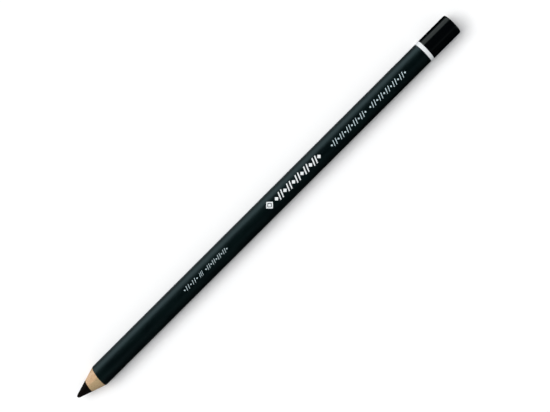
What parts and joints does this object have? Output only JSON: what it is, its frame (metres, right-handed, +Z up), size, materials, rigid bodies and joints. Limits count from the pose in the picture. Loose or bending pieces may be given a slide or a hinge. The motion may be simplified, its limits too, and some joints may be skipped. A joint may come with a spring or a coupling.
{
  "type": "marking pencil",
  "caption": "Round wood-cased marking pencil with a thick black core, sharpened blunt, a black lacquered barrel and an end dipped white, then black.",
  "frame": {"origin": "centre of the flat butt end of the black dip", "axes": "+X along the pencil's axis from the butt end to the writing tip, +Z up; the pencil lies on its side and the slats part in the XY plane"},
  "size_m": [0.175, 0.0078, 0.0078],
  "materials": {
    "core": "dense black wax with a satin sheen where the sharpener's blade cut it",
    "casing": "bare, fine-grained softwood with sharpener marks on the cone",
    "glue": "dried wood glue",
    "lacquer": "satin black lacquer with small white print",
    "white_enamel": "smooth white enamel",
    "black_enamel": "high-gloss black enamel"
  },
  "bodies": {
    "root": {"marking_core": "core", "upper_slat": "casing", "lower_slat": "casing", "glue_film": "glue", "barrel_lacquer": "lacquer", "white_dip": "white_enamel", "black_dip": "black_enamel"}
  },
  "joints": []
}
